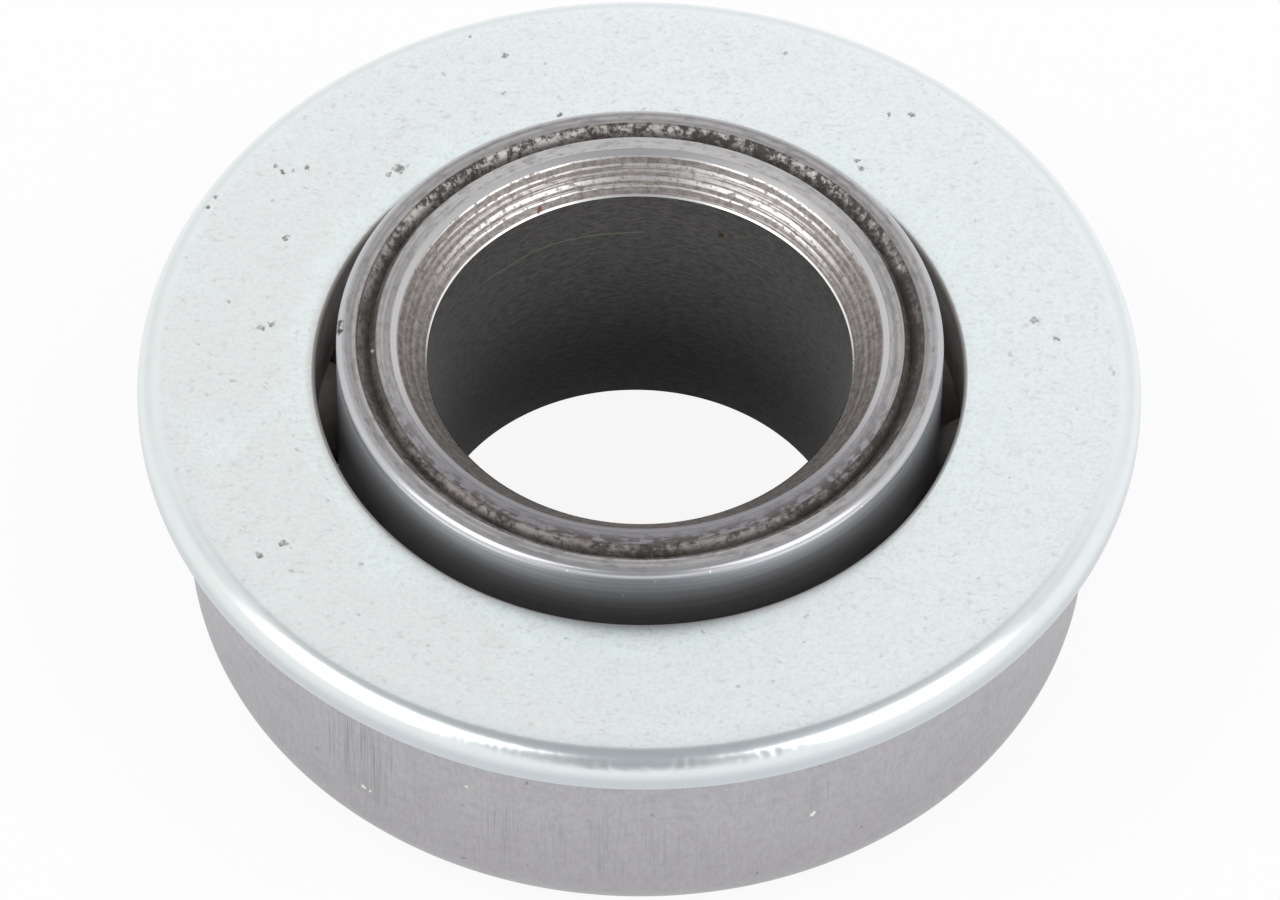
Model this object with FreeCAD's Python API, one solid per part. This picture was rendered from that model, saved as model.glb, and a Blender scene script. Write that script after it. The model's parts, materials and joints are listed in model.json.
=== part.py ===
import FreeCAD, Part
import math
import os

# Flanged wheel bearing with a full row of loose balls. Millimetres, +Z along the axle, flange side up.
# The origin is on the axis, in the plane of the lower end of the bore sleeve, which the bearing stands on.

# Bore sleeve
bore_diameter = 16.3
sleeve_wall = 2.27
sleeve_proud_of_cover = 1.85
sleeve_proud_of_cup = 0.15
bore_chamfer_width = 1.17
bore_chamfer_depth = 1.15
end_bevel_width = 0.24
end_bevel_depth = 0.1
sleeve_edge_chamfer = 0.29
seam_depth = 0.45

# Pressed shell: cup, cover and the flange that they form
body_diameter = 34.925
flange_overhang = 1.84
shell_height = 12.3
cup_sheet = 0.8
cup_corner_radius = 2.7
cup_lip_bend = 0.3
cover_sheet = 0.8
cover_bend_inside = 0.15
crimp = 0.3
rim_edge_round = 0.15
punched_edge_round = 0.2

# Races, and the slot that is left open between the inner race and the shell
inner_race_wall = 0.5
inner_groove_depth = 0.72
inner_race_end_round = 0.3
inner_race_bore_chamfer = 0.48
open_slot = 0.82
outer_race_setback = 0.05
outer_race_wall = 0.88
outer_race_edge_round = 0.2
race_corner_clearance = 0.1

# Full row of balls, the running clearance of a ball in its grooves and the least gap between neighbours
ball_count = 17
groove_clearance = 0.05
ball_gap = 0.1

# Heights, from the lower end of the sleeve
cup_bottom_z = sleeve_proud_of_cup
cup_floor_z = cup_bottom_z + cup_sheet
face_z = cup_bottom_z + shell_height
lip_top_z = face_z - cover_sheet
flange_seat_z = lip_top_z - cup_sheet
sleeve_length = face_z + sleeve_proud_of_cover
ball_z = (cup_floor_z + lip_top_z) / 2

# Radii, from the bore outwards and from the body inwards, with the balls midway between the walls of the races
bore_radius = bore_diameter / 2
sleeve_radius = bore_radius + sleeve_wall
body_radius = body_diameter / 2
cup_inside_radius = body_radius - cup_sheet
flange_radius = body_radius + flange_overhang
lip_radius = flange_radius - cover_sheet
inner_wall_radius = sleeve_radius + inner_race_wall
outer_wall_radius = cup_inside_radius - outer_race_wall
ball_circle_radius = (inner_wall_radius + outer_wall_radius) / 2

# The balls are as large as the walls and their neighbours allow, and the grooves and the slot follow them
room_between_walls = (outer_wall_radius - inner_wall_radius) / 2 - groove_clearance
room_in_row = ball_circle_radius * math.sin(math.pi / ball_count) - ball_gap / 2
ball_radius = min(room_between_walls, room_in_row)
groove_section_radius = ball_radius + groove_clearance
inner_race_radius = ball_circle_radius - groove_section_radius + inner_groove_depth
shell_hole_radius = inner_race_radius + open_slot
outer_race_bore_radius = shell_hole_radius + outer_race_setback

# Bends, limited by the room beside them
race_end_width = cup_inside_radius - outer_race_bore_radius - outer_race_edge_round
cup_inside_bend = min(cup_corner_radius - cup_sheet, race_end_width - race_corner_clearance)
lip_bend = min(cup_lip_bend, flange_overhang - cover_sheet - crimp)

same_point = 1e-6


def at(r, z):
    """Point of a section, which lies in the XZ plane."""
    return FreeCAD.Vector(r, 0, z)


def arc(centre, radius, start_degrees, end_degrees):
    """Arc of a section, with angles measured from the outward direction towards +Z."""
    points = []
    for degrees in (start_degrees, (start_degrees + end_degrees) / 2, end_degrees):
        angle = math.radians(degrees)
        points.append(centre + at(radius * math.cos(angle), radius * math.sin(angle)))
    return Part.Arc(*points).toShape()


def rounded_corner(before, corner, after, radius):
    """Arc that rounds the corner between the straight lines to the points before and after it."""
    back = (before - corner).normalize()
    onward = (after - corner).normalize()
    half_angle = back.getAngle(onward) / 2
    bisector = (back + onward).normalize()
    reach = radius / math.tan(half_angle)
    middle = corner + bisector * (radius / math.sin(half_angle) - radius)
    return Part.Arc(corner + back * reach, middle, corner + onward * reach).toShape()


def ends(step):
    """First and last point of one step of a section, which is an arc edge or a corner."""
    if isinstance(step, Part.Edge):
        return step.firstVertex(True).Point, step.lastVertex(True).Point
    return at(*step[:2]), at(*step[:2])


def turned(*steps):
    """Ring turned about Z. Its section steps through corners (r, z) or (r, z, rounding) and arc edges."""
    pieces = []
    for number, step in enumerate(steps):
        if not isinstance(step, Part.Edge) and len(step) == 3:
            before = ends(steps[number - 1])[1]
            after = ends(steps[(number + 1) % len(steps)])[0]
            step = rounded_corner(before, at(*step[:2]), after, step[2])
        pieces.append(step)
    section = []
    for piece, following in zip(pieces, pieces[1:] + pieces[:1]):
        if isinstance(piece, Part.Edge):
            section.append(piece)
        line_start = ends(piece)[1]
        line_end = ends(following)[0]
        if line_start.distanceToPoint(line_end) > same_point:
            section.append(Part.makeLine(line_start, line_end))
    face = Part.Face(Part.Wire(section))
    return face.revolve(FreeCAD.Vector(0, 0, 0), FreeCAD.Vector(0, 0, 1), 360)


def bore_sleeve():
    """Turned sleeve: plain bore, a wide chamfer and a shallow bevel at each end, and chamfered outer edges."""
    bevel_radius = bore_radius + bore_chamfer_width
    land_radius = bevel_radius + end_bevel_width
    land_edge_radius = sleeve_radius - sleeve_edge_chamfer
    bore_end = end_bevel_depth + bore_chamfer_depth
    return turned(
        (bore_radius, bore_end),
        (bevel_radius, end_bevel_depth),
        (land_radius, 0),
        (land_edge_radius, 0),
        (sleeve_radius, seam_depth),
        (sleeve_radius, sleeve_length - seam_depth),
        (land_edge_radius, sleeve_length),
        (land_radius, sleeve_length),
        (bevel_radius, sleeve_length - end_bevel_depth),
        (bore_radius, sleeve_length - bore_end),
    )


def inner_race():
    """Turned race pressed on the sleeve. Its chamfered bore leaves a V-shaped seam round the sleeve's end."""
    groove_centre = at(ball_circle_radius, ball_z)
    groove_reach = (ball_circle_radius - inner_race_radius) / groove_section_radius
    groove_turn = math.degrees(math.acos(groove_reach))
    land_radius = sleeve_radius + inner_race_bore_chamfer
    return turned(
        (sleeve_radius, seam_depth),
        (land_radius, 0),
        (inner_race_radius, 0, inner_race_end_round),
        arc(groove_centre, groove_section_radius, 180 + groove_turn, 180 - groove_turn),
        (inner_race_radius, sleeve_length, inner_race_end_round),
        (land_radius, sleeve_length),
        (sleeve_radius, sleeve_length - seam_depth),
    )


def outer_race(end_z):
    """Half of the split outer race, from the plane of the balls to the cup's floor or to the cover."""
    side = math.copysign(1, end_z - ball_z)
    groove_centre = at(ball_circle_radius, ball_z)
    groove_reach = (outer_race_bore_radius - ball_circle_radius) / groove_section_radius
    groove_turn = math.degrees(math.acos(groove_reach))
    return turned(
        (cup_inside_radius, ball_z),
        (cup_inside_radius, end_z, cup_inside_bend + race_corner_clearance),
        (outer_race_bore_radius, end_z, outer_race_edge_round),
        arc(groove_centre, groove_section_radius, side * groove_turn, 0),
    )


def bearing_cup():
    """Drawn cup with a punched floor and an outward lip, its edge bevelled for the crimp."""
    return turned(
        (shell_hole_radius, cup_bottom_z, punched_edge_round),
        (body_radius, cup_bottom_z, cup_inside_bend + cup_sheet),
        (body_radius, flange_seat_z, lip_bend),
        (lip_radius - crimp, flange_seat_z),
        (lip_radius, flange_seat_z + crimp),
        (lip_radius, lip_top_z, cover_bend_inside),
        (cup_inside_radius, lip_top_z, lip_bend + cup_sheet),
        (cup_inside_radius, cup_floor_z, cup_inside_bend),
        (shell_hole_radius, cup_floor_z),
    )


def flange_cover():
    """Pressed cover: flat ring, rim turned down over the cup's lip and crimped under its bevel."""
    return turned(
        (shell_hole_radius, face_z, punched_edge_round),
        (flange_radius, face_z, cover_bend_inside + cover_sheet),
        (flange_radius, flange_seat_z, rim_edge_round),
        (lip_radius - crimp, flange_seat_z),
        (lip_radius, flange_seat_z + crimp),
        (lip_radius, lip_top_z, cover_bend_inside),
        (shell_hole_radius, lip_top_z),
    )


def ball(number):
    """One ball of the full row, in its place round the axle."""
    angle = 2 * math.pi * number / ball_count
    x = ball_circle_radius * math.cos(angle)
    y = ball_circle_radius * math.sin(angle)
    return Part.makeSphere(ball_radius, FreeCAD.Vector(x, y, ball_z))


nodes = {
    "bore_sleeve": bore_sleeve(),
    "inner_race": inner_race(),
    "outer_race_lower": outer_race(cup_floor_z),
    "outer_race_upper": outer_race(lip_top_z),
    "bearing_cup": bearing_cup(),
    "flange_cover": flange_cover(),
}
for number in range(ball_count):
    nodes[f"ball_{number + 1:02d}"] = ball(number)

os.makedirs("parts", exist_ok=True)
for name, shape in nodes.items():
    shape.exportStep(f"parts/{name}.step")
    print(name, shape.ShapeType, shape.isValid(), round(shape.Volume, 2))
print("ball diameter", round(2 * ball_radius, 3), "ball circle radius", round(ball_circle_radius, 3))
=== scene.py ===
import bpy
import json
import math
import random
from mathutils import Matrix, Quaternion, Vector, noise


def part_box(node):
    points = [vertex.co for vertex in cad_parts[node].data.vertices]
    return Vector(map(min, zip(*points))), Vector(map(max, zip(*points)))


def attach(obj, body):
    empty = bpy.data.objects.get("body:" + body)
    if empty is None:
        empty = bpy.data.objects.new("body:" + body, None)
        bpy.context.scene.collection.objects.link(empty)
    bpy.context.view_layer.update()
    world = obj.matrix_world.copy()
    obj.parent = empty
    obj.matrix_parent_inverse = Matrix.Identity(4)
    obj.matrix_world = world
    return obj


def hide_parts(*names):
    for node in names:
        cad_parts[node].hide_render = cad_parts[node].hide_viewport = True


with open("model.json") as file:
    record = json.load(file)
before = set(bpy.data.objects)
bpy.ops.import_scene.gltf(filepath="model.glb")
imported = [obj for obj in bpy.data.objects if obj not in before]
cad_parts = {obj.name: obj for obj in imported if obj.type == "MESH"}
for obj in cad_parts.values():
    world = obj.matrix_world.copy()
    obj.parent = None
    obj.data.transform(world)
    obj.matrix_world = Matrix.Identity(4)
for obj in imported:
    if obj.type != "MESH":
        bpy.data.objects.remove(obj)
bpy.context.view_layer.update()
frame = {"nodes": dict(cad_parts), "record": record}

mm = 0.001


def radii(node):
    """Smallest and largest distance of a CAD node's surface from the axle line."""
    distances = [math.hypot(v.co.x, v.co.y) for v in frame["nodes"][node].data.vertices]
    return min(distances), max(distances)


# Radii and heights that the CAD model sets
bore_radius, sleeve_radius = radii("bore_sleeve")
race_radius = radii("inner_race")[1]
hole_radius, flange_radius = radii("flange_cover")
lip_radius = radii("bearing_cup")[1]
sleeve_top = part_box("bore_sleeve")[1].z
face_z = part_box("flange_cover")[1].z
flange_seat_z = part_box("flange_cover")[0].z
lip_top_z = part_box("bearing_cup")[1].z
cup_bottom_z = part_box("bearing_cup")[0].z
cup_sheet = lip_top_z - flange_seat_z
cover_sheet = face_z - lip_top_z
cup_floor_z = cup_bottom_z + cup_sheet
ball_low, ball_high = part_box("ball_01")
ball_circle_radius = (ball_low.x + ball_high.x) / 2
ball_z = (ball_low.z + ball_high.z) / 2
press_seat = next(mount for mount in frame["record"]["mounts"] if mount["name"] == "hub_press_seat")
body_radius = press_seat["dims"]["r_mm"] * mm
cup_inside_radius = body_radius - cup_sheet

# Chamfers, bends and rounded edges
bore_chamfer_width = 1.17 * mm
bore_chamfer_depth = 1.15 * mm
end_bevel_width = 0.24 * mm
end_bevel_depth = 0.1 * mm
sleeve_edge_chamfer = 0.29 * mm
seam_depth = 0.45 * mm
race_bore_chamfer = 0.48 * mm
race_end_round = 0.3 * mm
groove_clearance = 0.05 * mm
cup_corner_radius = 2.7 * mm
cup_lip_bend = 0.3 * mm
cover_bend_inside = 0.15 * mm
crimp = 0.3 * mm
rim_edge_round = 0.3 * mm
punched_edge_round = 0.2 * mm
edge_break = 0.035 * mm
bore_edge_round = 0.06 * mm
rim_bend = cover_bend_inside + cover_sheet
groove_radius = (ball_high.z - ball_low.z) / 2 + groove_clearance
groove_half_height = math.sqrt(groove_radius ** 2 - (ball_circle_radius - race_radius) ** 2)

# Radii of the zones on the ring ends
bevel_radius = bore_radius + bore_chamfer_width
sleeve_land_radius = bevel_radius + end_bevel_width
sleeve_land_edge = sleeve_radius - sleeve_edge_chamfer
race_land_radius = sleeve_radius + race_bore_chamfer

# Fineness of the turned meshes
cover_segments = 1360
ring_segments = 744
arc_step = math.radians(7)
small_arc_step = math.radians(18)
small_arc_radius = 0.16 * mm
fewest_arc_steps = 3
sharp_edge_angle = math.radians(35)

# Tool marks on the turned ends
race_mark_pitch = 0.07 * mm
sleeve_mark_pitch = 0.06 * mm
end_mark_depth = 0.003 * mm
chamfer_mark_pitch = 0.17 * mm
chamfer_mark_depth = 0.012 * mm

# Relief of the pressed rim, dented in its bend on the camera's side, and of the race's pitted bore chamfer
relief_margin = 0.02 * mm
rim_zone = 0.9 * mm
rim_wave_size = 0.9 * mm
rim_wave_depth = 0.004 * mm
rim_wave_bias = 0.2
dent_z = face_z - 0.36 * mm
dent_size = 0.28 * mm
dent_depth = 0.038 * mm
dent_bias = -0.05
dents_begin = 0.90
dents_grow = 0.05
pit_size = 0.25 * mm
pit_depth = 0.02 * mm
pit_bias = 0.3


def rounded_corner(before, corner, after, radius):
    """Points of the arc that rounds a corner of a section."""
    back = (before - corner).normalized()
    onward = (after - corner).normalized()
    half_angle = back.angle(onward) / 2
    centre = corner + (back + onward).normalized() * (radius / math.sin(half_angle))
    start = corner + back * (radius / math.tan(half_angle)) - centre
    turn = start.angle_signed(corner + onward * (radius / math.tan(half_angle)) - centre)
    longest_step = small_arc_step if radius < small_arc_radius else arc_step
    steps = max(fewest_arc_steps, math.ceil(abs(turn) / longest_step))
    points = []
    for step in range(steps + 1):
        angle = -turn * step / steps
        turned = Vector((
            start.x * math.cos(angle) - start.y * math.sin(angle),
            start.x * math.sin(angle) + start.y * math.cos(angle),
        ))
        points.append(centre + turned)
    return points


def plain(spacing):
    """A straight run with no marks, its points about evenly spaced."""
    def run(start, end):
        count = math.ceil((end - start).length / spacing)
        return [start.lerp(end, number / count) for number in range(1, count)]
    return run


def marked(pitch, depth, seed):
    """A straight run with tool marks: uneven cuts below the line, with ridges on it."""
    def run(start, end):
        draw = random.Random(seed)
        length = (end - start).length
        along = (end - start).normalized()
        inward = Vector((along.y, -along.x))
        points = []
        ridge = 0
        while True:
            step = pitch * draw.uniform(0.5, 1.5)
            if ridge + step > length - pitch / 2:
                return points
            cut = ridge + step * draw.uniform(0.35, 0.75)
            points.append(start + along * cut + inward * depth * draw.uniform(0.2, 1))
            ridge += step
            points.append(start + along * ridge)
    return run


def groove_run(start, end):
    """Points of the ball groove, an arc about the centre of the balls."""
    centre = Vector((ball_circle_radius, ball_z))
    reach = math.asin(groove_half_height / groove_radius)
    steps = math.ceil(2 * reach / arc_step)
    points = []
    for step in range(1, steps):
        angle = reach - 2 * reach * step / steps
        points.append(centre + groove_radius * Vector((-math.cos(angle), math.sin(angle))))
    return points


# Plain runs, finer where they show or carry relief
pitted_run = plain(0.06 * mm)
seam_run = plain(0.08 * mm)
bevel_run = plain(0.1 * mm)
rim_run = plain(0.2 * mm)
upright_run = plain(0.3 * mm)
sheet_run = plain(0.4 * mm)
drawn_run = plain(0.5 * mm)
face_run = plain(0.6 * mm)
long_run = plain(1 * mm)
inside_run = plain(3 * mm)
fitted_run = plain(6 * mm)


def outline(corners):
    """Closed outline (r, z) of a ring, clockwise, from corners (r, z, rounding, run to the next corner)."""
    places = [Vector(corner[:2]) for corner in corners]
    arcs = []
    for number, corner in enumerate(corners):
        before = places[number - 1]
        after = places[(number + 1) % len(places)]
        if corner[2]:
            arcs.append(rounded_corner(before, places[number], after, corner[2]))
        else:
            arcs.append([places[number]])
    points = []
    for number, corner in enumerate(corners):
        points += arcs[number]
        start = arcs[number][-1]
        end = arcs[(number + 1) % len(arcs)][0]
        points += corner[3](start, end)
    return points


def lathe(name, points, relief, segments):
    """Ring mesh from a closed outline. relief gives how deep a place on the surface is sunk."""
    count = len(points)
    normals = []
    for number in range(count):
        along = points[(number + 1) % count] - points[number - 1]
        normals.append(Vector((-along.y, along.x)).normalized())
    vertices = []
    for step in range(segments):
        angle = 2 * math.pi * step / segments
        x = math.cos(angle)
        y = math.sin(angle)
        for point, normal in zip(points, normals):
            depth = relief(Vector((point.x * x, point.x * y, point.y)), point)
            place = point - normal * depth
            vertices.append((place.x * x, place.x * y, place.y))
    faces = []
    for step in range(segments):
        here = step * count
        there = (step + 1) % segments * count
        for number in range(count):
            following = (number + 1) % count
            faces.append((here + number, here + following, there + following, there + number))
    mesh = bpy.data.meshes.new(name)
    mesh.from_pydata(vertices, [], faces)
    mesh.polygons.foreach_set("use_smooth", [True] * len(faces))
    mesh.set_sharp_from_angle(angle=sharp_edge_angle)
    ring = bpy.data.objects.new(name, mesh)
    bpy.context.scene.collection.objects.link(ring)
    return ring


def no_relief(place, point):
    """A surface that is left as its outline has it."""
    return 0


def rim_dents(place, point):
    """Shallow unevenness of the pressed rim, with small dents in its bend at the camera's side."""
    if point.x < flange_radius - rim_zone or point.y < flange_seat_z + relief_margin:
        return 0
    wave = rim_wave_depth * max(0, noise.noise(place / rim_wave_size) + rim_wave_bias)
    nearness = min(1, max(0, (-place.y / flange_radius - dents_begin) / dents_grow))
    across = max(0, 1 - abs(point.y - dent_z) / dent_size)
    dent = max(0, noise.noise(place / dent_size) + dent_bias)
    return wave + dent_depth * nearness * across * dent


def chamfer_pits(place, point):
    """Pitted wall of the race's bore chamfer."""
    if not sleeve_radius + relief_margin < point.x < race_land_radius - relief_margin:
        return 0
    return pit_depth * max(0, noise.noise(place / pit_size) + pit_bias)


def flange_cover():
    """Pressed cover: flat ring, rim turned down over the cup's lip and crimped under its bevel."""
    points = outline([
        (hole_radius, face_z, punched_edge_round, face_run),
        (flange_radius, face_z, rim_bend, rim_run),
        (flange_radius, flange_seat_z, rim_edge_round, sheet_run),
        (lip_radius - crimp, flange_seat_z, 0, sheet_run),
        (lip_radius, flange_seat_z + crimp, 0, sheet_run),
        (lip_radius, lip_top_z, cover_bend_inside, inside_run),
        (hole_radius, lip_top_z, edge_break, upright_run),
    ])
    return lathe("flange_cover_skin", points, rim_dents, cover_segments)


def bearing_cup():
    """Drawn cup with a punched floor and an outward lip."""
    points = outline([
        (lip_radius - crimp, flange_seat_z, 0, sheet_run),
        (body_radius, flange_seat_z, cup_lip_bend, drawn_run),
        (body_radius, cup_bottom_z, cup_corner_radius, drawn_run),
        (hole_radius, cup_bottom_z, punched_edge_round, sheet_run),
        (hole_radius, cup_floor_z, edge_break, long_run),
        (cup_inside_radius, cup_floor_z, cup_corner_radius - cup_sheet, inside_run),
        (cup_inside_radius, lip_top_z, cup_lip_bend + cup_sheet, sheet_run),
        (lip_radius, lip_top_z, cover_bend_inside, sheet_run),
        (lip_radius, flange_seat_z + crimp, 0, sheet_run),
    ])
    return lathe("bearing_cup_skin", points, no_relief, ring_segments)


def inner_race():
    """Turned race with a rounded outer corner, a land and a pitted bore chamfer at each end."""
    upper_land = marked(race_mark_pitch, end_mark_depth, seed=1)
    lower_land = marked(race_mark_pitch, end_mark_depth, seed=2)
    points = outline([
        (sleeve_radius, sleeve_top - seam_depth, 0, pitted_run),
        (race_land_radius, sleeve_top, edge_break, upper_land),
        (race_radius, sleeve_top, race_end_round, upright_run),
        (race_radius, ball_z + groove_half_height, 0, groove_run),
        (race_radius, ball_z - groove_half_height, 0, upright_run),
        (race_radius, 0, race_end_round, lower_land),
        (race_land_radius, 0, edge_break, pitted_run),
        (sleeve_radius, seam_depth, 0, fitted_run),
    ])
    return lathe("inner_race_skin", points, chamfer_pits, ring_segments)


def bore_sleeve():
    """Turned sleeve: plain bore, a wide marked chamfer, a shallow bevel and a land at each end."""
    bore_end = end_bevel_depth + bore_chamfer_depth
    upper_chamfer = marked(chamfer_mark_pitch, chamfer_mark_depth, seed=3)
    upper_land = marked(sleeve_mark_pitch, end_mark_depth, seed=4)
    lower_land = marked(sleeve_mark_pitch, end_mark_depth, seed=5)
    lower_chamfer = marked(chamfer_mark_pitch, chamfer_mark_depth, seed=6)
    points = outline([
        (bore_radius, bore_end, bore_edge_round, long_run),
        (bore_radius, sleeve_top - bore_end, bore_edge_round, upper_chamfer),
        (bevel_radius, sleeve_top - end_bevel_depth, edge_break, bevel_run),
        (sleeve_land_radius, sleeve_top, edge_break, upper_land),
        (sleeve_land_edge, sleeve_top, edge_break, seam_run),
        (sleeve_radius, sleeve_top - seam_depth, 0, fitted_run),
        (sleeve_radius, seam_depth, 0, seam_run),
        (sleeve_land_edge, 0, edge_break, lower_land),
        (sleeve_land_radius, 0, edge_break, bevel_run),
        (bevel_radius, end_bevel_depth, edge_break, lower_chamfer),
    ])
    return lathe("bore_sleeve_skin", points, no_relief, ring_segments)


# Sockets of Blender's Mix node when it mixes colours
mix_factor = 0
mix_first = 6
mix_second = 7
mix_result = 2

# Uneven outlines of specks and spots: noise scale and reach in millimetres, and soft edge of a speck
wobble_scale = 5.0
wobble_reach = 0.4
speck_edge = 0.05

# Waver of the bright rings on the chamfer: noise scale and reach in millimetres
waver_scale = 4.0
waver_reach = 0.08


class Nodes:
    """Short calls that add nodes to one tree. A value is a constant or the output of an earlier node."""

    def __init__(self, tree):
        self.tree = tree

    def fill(self, socket, value):
        """Writes a constant to a socket, or links an output to it."""
        if isinstance(value, bpy.types.NodeSocket):
            self.tree.links.new(value, socket)
        else:
            socket.default_value = value

    def node(self, kind, *values, output=0, **settings):
        """Output of a new node. Values fill its sockets in order, settings its options or named sockets."""
        made = self.tree.nodes.new(kind)
        options = [name for name in settings if hasattr(made, name)]
        for name in options:
            setattr(made, name, settings.pop(name))
        for socket, value in zip(made.inputs, values):
            self.fill(socket, value)
        for name, value in settings.items():
            self.fill(made.inputs[name], value)
        return made.outputs[output]

    def math(self, operation, *values):
        return self.node("ShaderNodeMath", *values, operation=operation)

    def times(self, first, second):
        return self.math("MULTIPLY", first, second)

    def add(self, base, value, share=1.0):
        """The base with a share of the value added."""
        return self.math("MULTIPLY_ADD", value, share, base)

    def less(self, base, value):
        return self.math("SUBTRACT", base, value)

    def inverse(self, mask):
        return self.less(1.0, mask)

    def most(self, first, second):
        return self.math("MAXIMUM", first, second)

    def band(self, value, low, high, to_low=0.0, to_high=1.0):
        """Smooth step from to_low to to_high as the value goes from low to high."""
        limits = (low, high, to_low, to_high)
        return self.node("ShaderNodeMapRange", value, *limits, interpolation_type="SMOOTHSTEP")

    def mix(self, factor, first, second):
        """Blend of two colours, each an output or its red, green and blue."""
        made = self.tree.nodes.new("ShaderNodeMix")
        made.data_type = "RGBA"
        self.fill(made.inputs[mix_factor], factor)
        for socket, colour in ((mix_first, first), (mix_second, second)):
            if not isinstance(colour, bpy.types.NodeSocket):
                colour = (*colour, 1)
            self.fill(made.inputs[socket], colour)
        return made.outputs[mix_result]


class Finish(Nodes):
    """Node material of one metal. Its place, radius and height on the bearing are in millimetres."""

    def __init__(self, name, **constants):
        self.material = bpy.data.materials.new(name)
        self.material.use_nodes = True
        super().__init__(self.material.node_tree)
        self.shader = self.tree.nodes["Principled BSDF"]
        for socket, value in constants.items():
            self.shader.inputs[socket].default_value = value
        coordinates = self.node("ShaderNodeTexCoord", output="Object")
        self.place = self.scale(coordinates, 1 / mm)
        flat = self.vector("MULTIPLY", self.place, (1, 1, 0))
        self.radius = self.measure("LENGTH", flat)
        self.direction = self.vector("NORMALIZE", flat)
        self.height = self.node("ShaderNodeSeparateXYZ", self.place, output="Z")

    def vector(self, operation, *vectors):
        return self.node("ShaderNodeVectorMath", *vectors, operation=operation)

    def measure(self, operation, *vectors):
        """Number that an operation on vectors gives."""
        return self.node("ShaderNodeVectorMath", *vectors, operation=operation, output="Value")

    def scale(self, vector, factor):
        return self.node("ShaderNodeVectorMath", vector, Scale=factor, operation="SCALE")

    def noise(self, vector, scale, detail=2.0, roughness=0.5):
        return self.node("ShaderNodeTexNoise", vector, Scale=scale, Detail=detail, Roughness=roughness)

    def stretched_noise(self, stretch, detail=2.0, roughness=0.5):
        """Noise with its own scale along x, y and z."""
        return self.noise(self.vector("MULTIPLY", self.place, stretch), 1.0, detail, roughness)

    def round_noise(self, around, lift, detail, roughness):
        """Noise that runs round the axle with no seam, and changes along the lift."""
        sweep = self.scale(self.direction, around)
        rise = self.node("ShaderNodeCombineXYZ", 0.0, 0.0, lift)
        return self.noise(self.vector("ADD", sweep, rise), 1.0, detail, roughness)

    def rings(self, around, across, detail=2.0, roughness=0.5):
        """Noise in lines that run round the axle, on flat ends and upright walls alike."""
        lift = self.times(self.add(self.radius, self.height), across)
        return self.round_noise(around, lift, detail, roughness)

    def hoops(self, around, across, detail=2.0, roughness=0.5):
        """Noise in streaks that run round the axle on sloping walls."""
        lift = self.times(self.height, across)
        return self.round_noise(around, lift, detail, roughness)

    def zone(self, measure, edge, start, end, to_start=0.0, to_end=1.0):
        """Smooth step as a radius or height goes from start to end, in millimetres past an edge."""
        return self.band(measure, edge / mm + start, edge / mm + end, to_start, to_end)

    def towards(self, x, y):
        """How far the surface lies towards a side, from -1 to 1 where x and y have a length of 1."""
        return self.measure("DOT_PRODUCT", self.direction, (x, y, 0))

    def bent_place(self):
        """Place with a fine wobble, which makes specks and spots uneven."""
        wobble = self.node("ShaderNodeTexNoise", self.place, Scale=wobble_scale, Detail=2.0, output="Color")
        offset = self.vector("SUBTRACT", wobble, (0.5, 0.5, 0.5))
        return self.vector("MULTIPLY_ADD", offset, (wobble_reach, wobble_reach, wobble_reach), self.place)

    def specks(self, spacing, share, size, dimensions="3D"):
        """Mask of sparse specks, one at most in each cell of the given spacing."""
        cells = self.tree.nodes.new("ShaderNodeTexVoronoi")
        cells.voronoi_dimensions = dimensions
        self.fill(cells.inputs["Scale"], 1 / spacing)
        self.fill(cells.inputs["Vector"], self.bent_place())
        chance = self.node("ShaderNodeSeparateColor", cells.outputs["Color"])
        reach = self.band(chance, 1 - share, 1.0, 0.0, size / spacing)
        return self.band(self.less(reach, cells.outputs["Distance"]), 0.0, speck_edge)

    def spots(self, places, height_scale=1.0):
        """Mask of single spots at chosen places (x, y, z, size). A height scale under 1 makes them tall."""
        bent = self.vector("MULTIPLY", self.bent_place(), (1, 1, height_scale))
        mask = 0.0
        for x, y, z, size in places:
            gap = self.measure("DISTANCE", bent, (x, y, z * height_scale))
            mask = self.most(mask, self.band(gap, size, size / 2))
        return mask

    def ring_lines(self, lines):
        """Mask of thin rings at chosen radii (radius, half width, strength), which waver a little."""
        waver = self.add(-waver_reach / 2, self.noise(self.direction, waver_scale), waver_reach)
        radius = self.add(self.radius, waver)
        mask = 0.0
        for line_radius, half_width, strength in lines:
            gap = self.math("ABSOLUTE", self.less(radius, line_radius))
            mask = self.most(mask, self.band(gap, half_width, half_width / 3, 0.0, strength))
        return mask

    def feed(self, socket, value):
        self.fill(self.shader.inputs[socket], value)

    def emboss(self, height, depth):
        """Bump from a height, of which 1 stands for the depth."""
        self.feed("Normal", self.node("ShaderNodeBump", Height=height, Distance=depth))


def on_face(marks):
    """Places of marks on the flange's face, given as x, y and size in millimetres."""
    return [(x, y, face_z / mm, size) for x, y, size in marks]


def round_wall(radius, marks):
    """Places of marks round an upright wall, given as degrees from the camera's side, height and size."""
    places = []
    for degrees, height, size in marks:
        angle = math.radians(degrees)
        places.append((radius / mm * math.sin(angle), -radius / mm * math.cos(angle), height, size))
    return places


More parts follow.
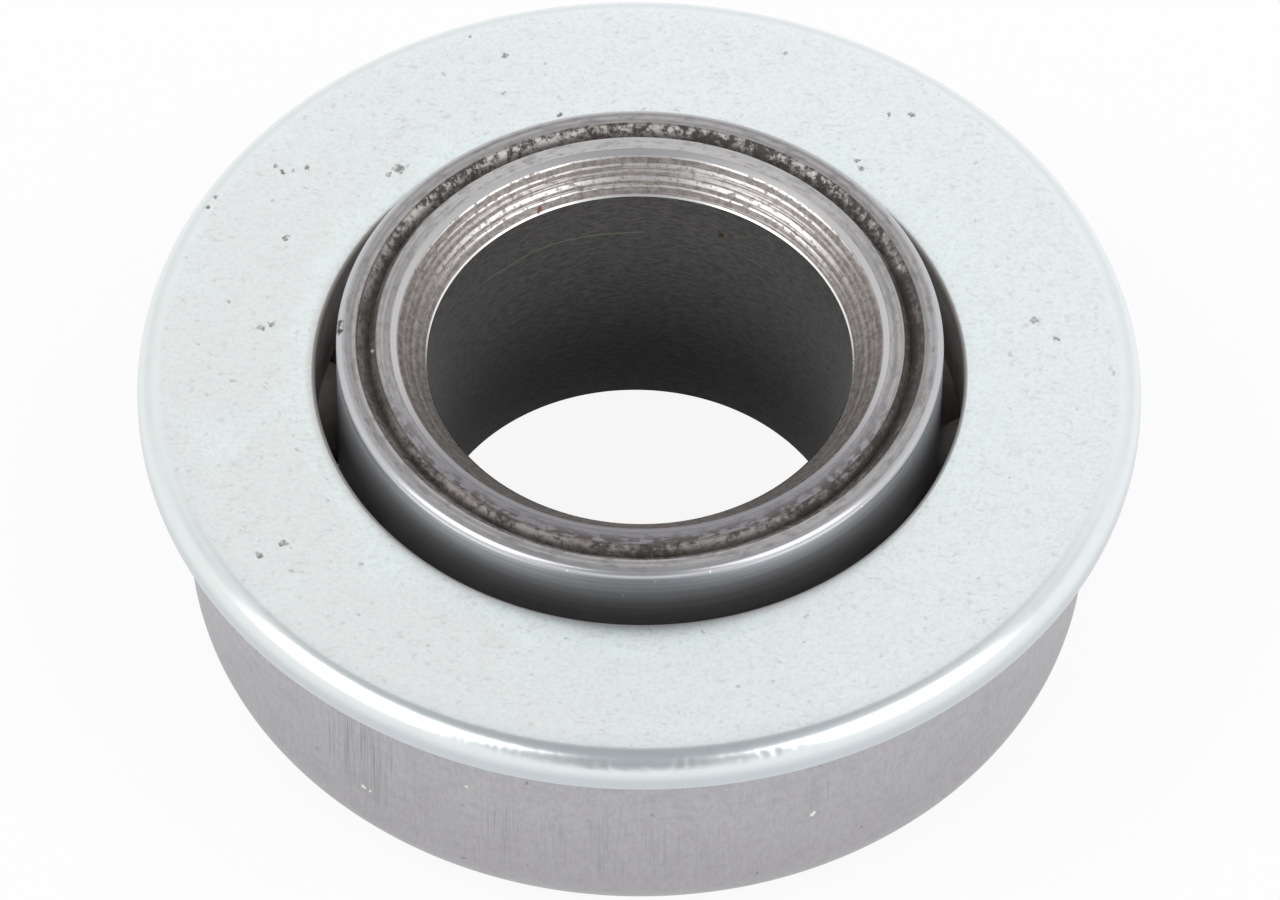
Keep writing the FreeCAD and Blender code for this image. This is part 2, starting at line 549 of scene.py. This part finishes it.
# Blemishes that the photo shows, and one painted highlight in the seam: x, y, z and size in millimetres
face_pits = on_face([
    (-9.5, 9.9, 0.3), (-9.9, 9.6, 0.15), (-14.3, 9.9, 0.12), (-14.0, 9.6, 0.16), (-13.6, 9.7, 0.14),
    (-13.1, 9.9, 0.14), (-16.9, 7.8, 0.16), (-16.6, 8.3, 0.12), (-13.8, 6.3, 0.14), (-14.2, 1.9, 0.18),
    (-14.6, 1.7, 0.18), (-15.9, 3.0, 0.14), (-14.3, -9.5, 0.2), (-13.4, -8.9, 0.18), (-5.5, 15.8, 0.18),
    (-5.5, 13.9, 0.14), (-6.9, 16.8, 0.14), (-3.3, 12.8, 0.14), (5.5, 16.2, 0.14), (8.5, 10.3, 0.18),
    (8.4, 10.7, 0.14), (10.5, 13.1, 0.16), (9.6, 13.1, 0.12), (15.2, 2.7, 0.2), (16.0, 1.8, 0.14),
])
race_nicks = [(-11.45, 0.6, 14.15, 0.2), (-11.47, 0.35, 14.15, 0.2), (-11.46, 0.1, 14.15, 0.2)]
race_chip = [(9.75, 3.9, 14.1, 0.12), (9.95, 3.9, 14.1, 0.12), (10.15, 3.9, 14.1, 0.12)]
# Painted highlight: a white spot in the seam's dirt that stands in for a glint
seam_glint = [(-10.25, -0.7, 14.15, 0.16)]
rust_speck = [(-4.0, 7.25, 13.2, 0.16)]
bore_crumb = [(3.1, 7.55, 11.55, 0.2)]

# Blemishes round upright walls: degrees from the camera's side, height and size in millimetres
cup_nicks = round_wall(body_radius, [(-36, 4.2, 0.1), (-35, 4.2, 0.1), (-21, 7.1, 0.1), (23, 5.5, 0.16)])
draw_marks = round_wall(body_radius, [(-39, 6.0, 1.2), (-34.5, 6.0, 1.4)])
faint_draw_marks = round_wall(body_radius, [
    (-29, 4.8, 0.9), (-25, 4.7, 0.9), (-17, 4.8, 1.3), (-10, 4.9, 1.0),
    (-3, 5.0, 1.3), (4, 4.8, 1.0), (11, 4.4, 1.0), (24, 6.6, 0.8),
])
race_specks = round_wall(race_radius, [
    (3.5, 13.9, 0.07), (-2.5, 13.0, 0.06), (14, 14.1, 0.06),
    (7.5, 14.1, 0.05), (-13, 14.1, 0.06), (47, 14.05, 0.07),
])

# Bright turned lines on the bore's chamfer, polished and partly painted highlight: share of its width from
# the bore, half width and strength
chamfer_lines = [
    (0.27, 0.04, 0.85), (0.45, 0.09, 0.7), (0.62, 0.04, 0.35), (0.78, 0.04, 0.6), (0.97, 0.04, 0.9),
]
chamfer_ridges = [
    ((bore_radius + share * bore_chamfer_width) / mm, half_width, strength)
    for share, half_width, strength in chamfer_lines
]

# Zinc plate: colours, roughness, and depth of its bump with the pits in grain depths
# Plate colours at the left and the right: the right is painted lighter, a painted side light
zinc_shaded_left = (0.84, 0.88, 0.87)
zinc_lit_right = (0.885, 0.93, 0.945)
zinc_cloud = (0.865, 0.945, 0.945)
zinc_mottle = (0.70, 0.72, 0.71)
zinc_fleck = (0.60, 0.60, 0.585)
zinc_grain = (0.71, 0.74, 0.74)
zinc_rim = (0.68, 0.72, 0.73)
# Painted shade of the rim's lower wall
zinc_rim_wall_shade = (0.585, 0.62, 0.65)
zinc_pit = (0.24, 0.235, 0.215)
# Brownish darkening at the hole's edge: painted shade, with some dirt
zinc_near_shade_and_stain = (0.42, 0.37, 0.32)
zinc_edge_shade_and_grime = (0.46, 0.41, 0.37)
zinc_roughness = 0.30
zinc_rim_polish = 0.08
zinc_bump_depth = 0.0025 * mm
zinc_pit_depth = 4.0


def zinc_tint(finish, grain, rim, flat):
    """Colour of the plate: lighter and cooler at the right as painted side light, with clouds, mottles,
    flecks and grain, a darker rim, and painted shade on the rim's lower wall.
    """
    halo = finish.zone(finish.radius, hole_radius, 2.2, 0.7)
    cloud = finish.add(finish.noise(finish.place, 0.28, 3.0), halo, 0.22)
    mottle = finish.noise(finish.place, 1.3, 4.0, 0.65)
    patches = finish.noise(finish.place, 0.5, 3.0, 0.6)
    flecks = finish.stretched_noise((2.2, 5.5, 1), 2.0, 0.6)
    clustered = finish.times(finish.band(patches, 0.42, 0.62, 0.1, 0.45), finish.band(flecks, 0.57, 0.70))
    # Painted side light: the plate is lighter and cooler towards the right.
    side = finish.band(finish.towards(0.9, 0.4), -0.9, 0.7)
    # Painted shade: the rim's lower wall is darkened towards its foot.
    rim_wall_shade = finish.zone(finish.height, face_z, -0.45, -1.05)
    tint = finish.mix(side, zinc_shaded_left, zinc_lit_right)
    tint = finish.mix(finish.band(cloud, 0.56, 0.80), tint, zinc_cloud)
    tint = finish.mix(finish.band(mottle, 0.50, 0.75, 0.0, 0.25), tint, zinc_mottle)
    tint = finish.mix(finish.times(clustered, flat), tint, zinc_fleck)
    tint = finish.mix(finish.times(finish.band(grain, 0.42, 0.80), flat), tint, zinc_grain)
    tint = finish.mix(finish.times(rim, 0.3), tint, zinc_rim)
    return finish.mix(finish.times(rim_wall_shade, rim), tint, zinc_rim_wall_shade)


def zinc_pits(finish, grain, flat):
    """Mask of dark pits: faint specks all over the flat face, and the pits that the photo shows."""
    faint = finish.times(finish.specks(0.55, 0.5, 0.11, "2D"), 0.15)
    fine = finish.most(faint, finish.times(finish.specks(1.3, 0.22, 0.12, "2D"), 0.35))
    placed = finish.times(finish.spots(face_pits), finish.band(grain, 0.40, 0.60, 0.4, 1.0))
    return finish.most(finish.times(fine, flat), placed)


def zinc_plate():
    """Bright zinc on sheet: pale, satin and finely grained, with pits, painted shade and dirt at the hole's
    edge, and a glossy rim.
    """
    finish = Finish("zinc_plate")
    grain = finish.noise(finish.place, 6.0, 5.0, 0.75)
    rim = finish.zone(finish.radius, flange_radius, -1.0, -0.7)
    flat = finish.inverse(rim)
    pits = zinc_pits(finish, grain, flat)
    # Painted shade with some dirt: a dull brownish ring on the hole's rounded edge, and a wider brownish
    # patch towards the near left.
    edge_shade_and_grime = finish.zone(finish.radius, hole_radius, 0.16, 0.02)
    shaded_near_side = finish.band(finish.towards(-0.5, -0.87), -0.2, 0.6, 0.1, 0.55)
    near_shade_and_stain = finish.times(finish.zone(finish.radius, hole_radius, 0.5, 0.05), shaded_near_side)
    tint = finish.mix(pits, zinc_tint(finish, grain, rim, flat), zinc_pit)
    tint = finish.mix(near_shade_and_stain, tint, zinc_near_shade_and_stain)
    finish.feed("Base Color", finish.mix(edge_shade_and_grime, tint, zinc_edge_shade_and_grime))
    finish.feed("Metallic", finish.inverse(edge_shade_and_grime))
    finish.feed("Roughness", finish.add(zinc_roughness, rim, -zinc_rim_polish))
    finish.emboss(finish.add(finish.times(grain, flat), pits, -zinc_pit_depth), zinc_bump_depth)
    return finish.material


# Drawn steel: colours, roughness, and depth of its bump with marks and nicks in grain depths
drawn_light = (0.485, 0.477, 0.49)
drawn_dark = (0.43, 0.42, 0.432)
drawn_smear = (0.385, 0.375, 0.385)
drawn_low_shade = (0.31, 0.30, 0.31)
drawn_mark = (0.33, 0.325, 0.335)
drawn_speck = (0.16, 0.15, 0.15)
drawn_nick = (0.85, 0.82, 0.78)
drawn_roughness = 0.38
drawn_grain_roughness = 0.12
drawn_bump_depth = 0.002 * mm
drawn_mark_depth = 1.5
drawn_nick_depth = 6.0


def drawn_steel():
    """Bare drawn sheet: neutral grey, with fine upright draw marks in clusters, specks and bright nicks, and
    painted shade towards its foot.
    """
    finish = Finish("drawn_steel", Metallic=1.0)
    streaks = finish.stretched_noise((20, 20, 0.25))
    clusters = finish.stretched_noise((0.35, 0.35, 0.3))
    grain = finish.stretched_noise((6, 6, 2.5), 4.0, 0.7)
    smear = finish.stretched_noise((0.8, 0.8, 2.0), 3.0, 0.6)
    faint = finish.times(finish.spots(faint_draw_marks, 0.5), 0.5)
    placed = finish.most(finish.spots(draw_marks, 0.4), faint)
    strong = finish.most(finish.band(clusters, 0.45, 0.72, 0.05, 0.35), placed)
    marks = finish.times(finish.band(streaks, 0.50, 0.64), strong)
    nicks = finish.spots(cup_nicks)
    tint = finish.mix(finish.band(grain, 0.35, 0.7), drawn_light, drawn_dark)
    tint = finish.mix(finish.band(smear, 0.45, 0.75, 0.0, 0.5), tint, drawn_smear)
    # Painted shade: the wall is darker towards its foot.
    tint = finish.mix(finish.band(finish.height, 7.5, 2.0, 0.0, 0.3), tint, drawn_low_shade)
    tint = finish.mix(marks, tint, drawn_mark)
    tint = finish.mix(finish.times(finish.specks(0.8, 0.4, 0.12), 0.5), tint, drawn_speck)
    finish.feed("Base Color", finish.mix(nicks, tint, drawn_nick))
    finish.feed("Roughness", finish.add(drawn_roughness, grain, drawn_grain_roughness))
    height = finish.add(grain, marks, -drawn_mark_depth)
    finish.emboss(finish.add(height, nicks, -drawn_nick_depth), drawn_bump_depth)
    return finish.material


# Old dirt in the seam between the sleeve and the race, the bare patches in it, and painted shade and light on
# it
dirt_dark = (0.07, 0.06, 0.054)
dirt_dark_shaded_far = (0.06, 0.05, 0.045)
seam_painted_shade = (0.05, 0.042, 0.037)
bare_shaded_sides = (0.30, 0.272, 0.255)
bare_half_lit_near = (0.46, 0.43, 0.42)
bare_lit_far = (0.63, 0.60, 0.575)
dirt_cover = 0.85


def seam_dirt(finish):
    """Grit, colour and cover of the dirt in the V-shaped seam: coarse at the far side, streaky elsewhere,
    with painted shade at the foot and the edges of the V, and bare patches painted lighter at the far and
    near sides.
    """
    grit = finish.noise(finish.place, 3.6, 5.0, 0.72)
    patches = finish.noise(finish.place, 0.55)
    streaks = finish.hoops(11.0, 7.0, 3.0, 0.6)
    far = finish.band(finish.towards(0, 1), 0.1, 0.7)
    near = finish.band(finish.towards(0, -1), 0.2, 0.8)
    gritty = finish.band(finish.add(grit, patches, 0.45), 0.64, 0.83)
    uneven = finish.add(finish.times(patches, 0.4), grit, 0.75)
    uneven = finish.add(uneven, finish.towards(-0.03, -0.05))
    streaky = finish.band(finish.add(uneven, streaks, 0.35), 0.68, 0.90)
    bare = finish.add(streaky, finish.less(gritty, streaky), far)
    # Painted light and shade by side: the bare patches are lightest at the far side, lighter at the near side
    # and darkest at the sides, and the dark dirt is a little darker at the far side.
    dark = finish.mix(far, dirt_dark, dirt_dark_shaded_far)
    light = finish.mix(far, finish.mix(near, bare_shaded_sides, bare_half_lit_near), bare_lit_far)
    # Painted shade: near black at the foot of the V and darker along its edges.
    bottom_shade = finish.zone(finish.height, sleeve_top, -0.16, -0.38, 0.0, 0.8)
    brink_shade = finish.zone(finish.height, sleeve_top, -0.10, -0.03, 0.0, 0.5)
    dirt = finish.mix(finish.most(bottom_shade, brink_shade), finish.mix(bare, dark, light), seam_painted_shade)
    return grit, dirt, finish.most(finish.less(dirt_cover, bare), bottom_shade)


# Tool lines and stains that the race and the sleeve share, and the grit's height in line heights
end_bump_depth = 0.0015 * mm
grit_height = 8.0
dirt_roughness = 0.25


def end_lines(finish):
    """Fine tool lines round a turned end."""
    return finish.rings(0.7, 7.0)


def end_blotches(finish):
    """Stains that are drawn out along the tool lines."""
    return finish.rings(16.0, 4.0, 3.0, 0.65)


# Race: colours and roughness
race_light = (0.44, 0.43, 0.435)
race_dark = (0.325, 0.315, 0.315)
race_blotch = (0.21, 0.195, 0.19)
race_corner = (0.60, 0.60, 0.625)
race_wall_light = (0.435, 0.445, 0.47)
race_wall_dark = (0.38, 0.39, 0.41)
race_nick = (0.08, 0.075, 0.07)
race_speck = (0.95, 0.95, 0.95)
race_chip_bare = (0.62, 0.58, 0.54)
race_roughness = 0.33
race_corner_polish = 0.11
race_wall_roughness = 0.13


def race_steel():
    """Turned race: ringed land, polished corner, satin wall and a brown-black gritty bore chamfer."""
    finish = Finish("race_steel")
    wall = finish.zone(finish.height, sleeve_top, -0.14, -0.55)
    corner = finish.less(finish.zone(finish.radius, race_radius, -0.34, -0.14), wall)
    chamfer = finish.zone(finish.radius, race_land_radius, 0.02, -0.03)
    lines = end_lines(finish)
    wall_tint = finish.mix(finish.band(lines, 0.36, 0.64), race_wall_light, race_wall_dark)
    tint = finish.mix(finish.band(lines, 0.38, 0.62), race_light, race_dark)
    tint = finish.mix(finish.band(end_blotches(finish), 0.45, 0.68, 0.0, 0.6), tint, race_blotch)
    tint = finish.mix(finish.times(corner, 0.9), tint, race_corner)
    tint = finish.mix(wall, tint, wall_tint)
    tint = finish.mix(finish.spots(race_nicks), tint, race_nick)
    tint = finish.mix(finish.spots(race_specks), tint, race_speck)
    grit, dirt, cover = seam_dirt(finish)
    dirt = finish.mix(finish.spots(race_chip), dirt, race_chip_bare)
    finish.feed("Base Color", finish.mix(chamfer, tint, dirt))
    finish.feed("Metallic", finish.inverse(finish.times(chamfer, cover)))
    rough = finish.add(race_roughness, chamfer, dirt_roughness)
    rough = finish.add(rough, corner, -race_corner_polish)
    finish.feed("Roughness", finish.add(rough, wall, race_wall_roughness))
    finish.emboss(finish.add(lines, finish.times(grit, chamfer), grit_height), end_bump_depth)
    return finish.material


# Sleeve: colours of its land, bevel, chamfer and bore, and roughness
land_light = (0.46, 0.45, 0.455)
land_dark = (0.325, 0.315, 0.32)
land_lit_far = (0.63, 0.62, 0.625)
land_shaded_near = (0.22, 0.215, 0.24)
land_blotch = (0.23, 0.215, 0.21)
land_dirt = (0.12, 0.10, 0.095)
bevel_grey = (0.58, 0.57, 0.57)
worn_light = (0.36, 0.332, 0.317)
worn_dark = (0.222, 0.198, 0.186)
# Bright tint of the polished ridges, partly a painted highlight
ridge_bright_and_highlight = (0.95, 0.93, 0.91)
rust_brown = (0.20, 0.09, 0.06)
bore_top = (0.175, 0.171, 0.168)
bore_deep_shade = (0.03, 0.03, 0.031)
scratch_brown = (0.30, 0.26, 0.22)
crumb_brown = (0.09, 0.06, 0.03)
glint_white = (0.97, 0.97, 0.97)
sleeve_roughness = 0.32
chamfer_roughness = 0.20
bore_roughness = 0.15
ridge_polish = 0.36
chamfer_grain_height = 2.0

# Height of the bore's scratch and of the foot of its painted fade to dark, in millimetres
scratch_z = 10.7
bore_dark_z = 3.0


def sleeve_land(finish, lines):
    """Colour of the sleeve's ringed land and bevel, painted lighter at the far side and darker at the
    camera's side, with dirt spread over them at the camera's side.
    """
    blotches = end_blotches(finish)
    far = finish.band(finish.towards(0, 1), 0.3, 0.9, 0.0, 0.6)
    near = finish.band(finish.towards(0, -1), 0.1, 0.8)
    in_bevel = finish.zone(finish.radius, sleeve_land_radius, 0.01, -0.02)
    outward = finish.band(finish.radius, sleeve_land_radius / mm, sleeve_land_edge / mm)
    spread = finish.times(finish.times(near, outward), finish.band(blotches, 0.42, 0.56))
    tint = finish.mix(finish.band(lines, 0.38, 0.62), land_light, land_dark)
    # Painted light: the land is lighter at the far side.
    tint = finish.mix(far, tint, land_lit_far)
    tint = finish.mix(finish.band(blotches, 0.45, 0.68, 0.0, 0.55), tint, land_blotch)
    tint = finish.mix(in_bevel, tint, bevel_grey)
    # Painted shade: the land is darker at the camera's side.
    tint = finish.mix(finish.times(near, 0.7), tint, land_shaded_near)
    return finish.mix(spread, tint, land_dirt)


def chamfer_shine_and_highlight(finish, in_chamfer, in_bore):
    """Mask of the bright polished lines and rim of the bore's chamfer, which are partly painted highlight.
    The lines are strongest at the far side.
    """
    fine = finish.rings(1.3, 9.0)
    breaks = finish.rings(30.0, 4.0, 3.0, 0.6)
    rim = finish.zone(finish.radius, bore_radius, 0.10, 0.05)
    ridge_shine_and_highlight = finish.most(finish.ring_lines(chamfer_ridges), finish.band(fine, 0.55, 0.64, 0.0, 0.5))
    ridge_shine_and_highlight = finish.times(ridge_shine_and_highlight, finish.band(breaks, 0.36, 0.50, 0.15, 1.0))
    # Painted highlight: the lines are brighter towards the far side.
    ridge_shine_and_highlight = finish.times(ridge_shine_and_highlight, finish.band(finish.towards(0, 1), 0.3, 0.75, 0.2, 1.0))
    ridge_shine_and_highlight = finish.times(ridge_shine_and_highlight, finish.less(in_chamfer, in_bore))
    return finish.most(ridge_shine_and_highlight, finish.less(rim, in_bore))


def bore_scratch(finish):
    """Mask of the one thin scratch that runs a short way round the bore, below the far chamfer."""
    wave = finish.noise(finish.direction, 3.0, 1.0)
    gap = finish.math("ABSOLUTE", finish.less(finish.height, finish.add(scratch_z, wave, 0.5)))
    reach = finish.band(finish.towards(-0.42, 0.91), 0.86, 0.96, 0.0, 0.8)
    return finish.times(finish.band(gap, 0.05, 0.015), reach)


def bore_tint(finish):
    """Colour of the smooth bore: patchy, darker downwards as painted shade, with a scratch and a crumb of
    dirt.
    """
    uneven = finish.rings(22.0, 9.0, 5.0, 0.72)
    # Painted shade: the bore darkens downwards.
    deep = finish.band(finish.height, sleeve_top / mm - 1.2, bore_dark_z)
    tint = finish.mix(deep, bore_top, bore_deep_shade)
    tint = finish.scale(tint, finish.band(uneven, 0.30, 0.70, 0.62, 1.2))
    tint = finish.mix(bore_scratch(finish), tint, scratch_brown)
    return finish.mix(finish.spots(bore_crumb), tint, crumb_brown)


def turned_steel():
    """Turned sleeve: ringed land with painted light and shade and with dirt at one side, warm chamfer with
    bright ridges that are partly painted highlight, dark smooth bore painted darker downwards.
    """
    finish = Finish("turned_steel")
    in_chamfer = finish.zone(finish.radius, bevel_radius, 0.02, -0.02)
    in_bore = finish.zone(finish.radius, bore_radius, 0.015, 0.005)
    seam = finish.zone(finish.radius, sleeve_land_edge, -0.03, 0.02)
    lines = end_lines(finish)
    grain = finish.noise(finish.place, 4.0, 4.0, 0.7)
    ridge_shine_and_highlight = chamfer_shine_and_highlight(finish, in_chamfer, in_bore)
    chamfer = finish.mix(finish.band(grain, 0.35, 0.65), worn_light, worn_dark)
    chamfer = finish.mix(ridge_shine_and_highlight, chamfer, ridge_bright_and_highlight)
    chamfer = finish.mix(finish.spots(rust_speck), chamfer, rust_brown)
    tint = finish.mix(in_chamfer, sleeve_land(finish, lines), chamfer)
    tint = finish.mix(in_bore, tint, bore_tint(finish))
    grit, dirt, cover = seam_dirt(finish)
    # Painted highlight: a white spot in the seam's dirt stands in for a glint.
    dirt = finish.mix(finish.spots(seam_glint), dirt, glint_white)
    finish.feed("Base Color", finish.mix(seam, tint, dirt))
    finish.feed("Metallic", finish.inverse(finish.times(seam, cover)))
    rough = finish.add(sleeve_roughness, in_chamfer, chamfer_roughness)
    rough = finish.add(rough, in_bore, bore_roughness)
    rough = finish.add(rough, ridge_shine_and_highlight, -ridge_polish)
    finish.feed("Roughness", finish.add(rough, seam, dirt_roughness))
    height = finish.add(lines, finish.times(grit, seam), grit_height)
    height = finish.add(height, finish.times(grain, in_chamfer), chamfer_grain_height)
    finish.emboss(finish.times(height, finish.inverse(in_bore)), end_bump_depth)
    return finish.material


def greased_steel(name, light, dark):
    """Steel under a patchy, dull film of old grease."""
    finish = Finish(name, Metallic=0.1)
    film = finish.noise(finish.place, 0.8, 3.0)
    finish.feed("Base Color", finish.mix(finish.band(film, 0.4, 0.65), light, dark))
    finish.feed("Roughness", finish.band(film, 0.3, 0.7, 0.4, 0.65))
    return finish.material


def show(ring, body, node, material):
    """Puts a ring in the place of its CAD node."""
    ring.data.materials.append(material)
    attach(ring, body)
    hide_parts(node)


show(flange_cover(), "outer_ring", "flange_cover", zinc_plate())
show(bearing_cup(), "outer_ring", "bearing_cup", drawn_steel())
show(inner_race(), "inner_ring", "inner_race", race_steel())
show(bore_sleeve(), "inner_ring", "bore_sleeve", turned_steel())

# The balls and the outer race keep their CAD shapes, with finishes by how their names start
hidden_finishes = {
    "outer_race": greased_steel("hidden_race_steel", (0.68, 0.64, 0.60), (0.52, 0.48, 0.45)),
    "ball": greased_steel("ball_steel", (0.62, 0.58, 0.54), (0.48, 0.44, 0.41)),
}
for name, node in frame["nodes"].items():
    for prefix, material in hidden_finishes.items():
        if name.startswith(prefix):
            node.data.materials.clear()
            node.data.materials.append(material)


# Camera at the viewing angle of the photo
camera_distance = 420 * mm
camera_elevation = math.radians(50.8)
camera_roll = math.radians(0.91)
camera_lens = 304.75
aim = Vector((0.065 * mm, 0, 7.48 * mm))


def add_camera():
    """Camera on the -Y side that looks down at the aim."""
    data = bpy.data.cameras.new("camera")
    data.lens = camera_lens
    camera = bpy.data.objects.new("camera", data)
    back = Vector((0, -math.cos(camera_elevation), math.sin(camera_elevation)))
    camera.location = aim + back * camera_distance
    camera.rotation_mode = "QUATERNION"
    camera.rotation_quaternion = (-back).to_track_quat("-Z", "Y") @ Quaternion((0, 0, 1), camera_roll)
    bpy.context.scene.collection.objects.link(camera)
    bpy.context.scene.camera = camera


# Studio: pale floor, pale walls, a dark strip overhead and two softboxes
floor_size = 4.0
floor_paper = (0.93, 0.93, 0.93, 1)
floor_own_white = 0.9
softbox_distance = 1.0

# Surroundings: colours, and limits of their fades in the x, y and z of a direction
wall_white = (1, 1, 1)
near_wall_high = (0.80, 0.80, 0.81)
far_wall_low = (0.91, 0.91, 0.92)
strip_grey = (0.42, 0.43, 0.455)
walls_low = (0.65, 0.30)
walls_far = (0.2, 0.55)
dark_strip_side = (0.50, 0.08)
dark_strip_back = (0.57, 0.42)
dark_strip_low = (0.0, 0.60)


def floor_material():
    """Paper that shows as nearly white to the camera and in reflections, and keeps the soft shadow."""
    material = bpy.data.materials.new("floor")
    material.use_nodes = True
    nodes = Nodes(material.node_tree)
    nodes.tree.nodes.remove(nodes.tree.nodes["Principled BSDF"])
    path = nodes.tree.nodes.new("ShaderNodeLightPath").outputs
    seen = nodes.most(path["Is Camera Ray"], path["Is Glossy Ray"])
    seen = nodes.most(seen, path["Is Transmission Ray"])
    paper = nodes.node("ShaderNodeBsdfDiffuse", Color=floor_paper)
    white = nodes.node("ShaderNodeEmission", Strength=1)
    both = nodes.node("ShaderNodeMixShader", nodes.times(seen, floor_own_white), paper, white)
    nodes.fill(nodes.tree.nodes["Material Output"].inputs["Surface"], both)
    return material


def add_floor():
    """Square floor at the foot of the bearing."""
    mesh = bpy.data.meshes.new("floor")
    half = floor_size / 2
    corners = [(-half, -half, 0), (half, -half, 0), (half, half, 0), (-half, half, 0)]
    mesh.from_pydata(corners, [], [(0, 1, 2, 3)])
    mesh.materials.append(floor_material())
    floor = bpy.data.objects.new("floor", mesh)
    bpy.context.scene.collection.objects.link(floor)


def add_world():
    """Pale surroundings with a dark strip overhead, which runs down to the horizon on the camera's side."""
    world = bpy.data.worlds.new("studio")
    bpy.context.scene.world = world
    world.use_nodes = True
    nodes = Nodes(world.node_tree)
    parts = nodes.tree.nodes.new("ShaderNodeSeparateXYZ")
    nodes.fill(parts.inputs[0], nodes.node("ShaderNodeTexCoord", output="Generated"))
    x, y, z = parts.outputs
    low = nodes.band(z, *walls_low)
    near_walls = nodes.mix(low, near_wall_high, wall_white)
    far_walls = nodes.mix(low, wall_white, far_wall_low)
    walls = nodes.mix(nodes.band(y, *walls_far), near_walls, far_walls)
    strip = nodes.band(nodes.math("ABSOLUTE", x), *dark_strip_side)
    strip = nodes.band(y, *dark_strip_back, to_high=strip)
    strip = nodes.band(z, *dark_strip_low, to_high=strip)
    background = nodes.tree.nodes["Background"]
    nodes.fill(background.inputs["Color"], nodes.mix(strip, walls, strip_grey))
    background.inputs["Strength"].default_value = 1


def add_softbox(name, azimuth, elevation, width, height, radiance):
    """Soft rectangular light that faces the bearing. Azimuth 0 is the camera's side, 90 the right."""
    data = bpy.data.lights.new(name, "AREA")
    data.shape = "RECTANGLE"
    data.size = width
    data.size_y = height
    data.energy = radiance * math.pi * width * height
    light = bpy.data.objects.new(name, data)
    sideways = math.radians(azimuth)
    upwards = math.radians(elevation)
    level = math.cos(upwards)
    place = Vector((math.sin(sideways) * level, -math.cos(sideways) * level, math.sin(upwards)))
    light.location = place * softbox_distance
    light.rotation_mode = "QUATERNION"
    light.rotation_quaternion = (-place).to_track_quat("-Z", "Y")
    light.visible_camera = False
    bpy.context.scene.collection.objects.link(light)


add_camera()
add_floor()
add_world()
add_softbox("left_softbox", azimuth=-61, elevation=45, width=0.72, height=0.90, radiance=1.2)
add_softbox("right_softbox", azimuth=58, elevation=42, width=0.66, height=0.80, radiance=1.1)
bpy.context.scene.view_settings.view_transform = "Standard"
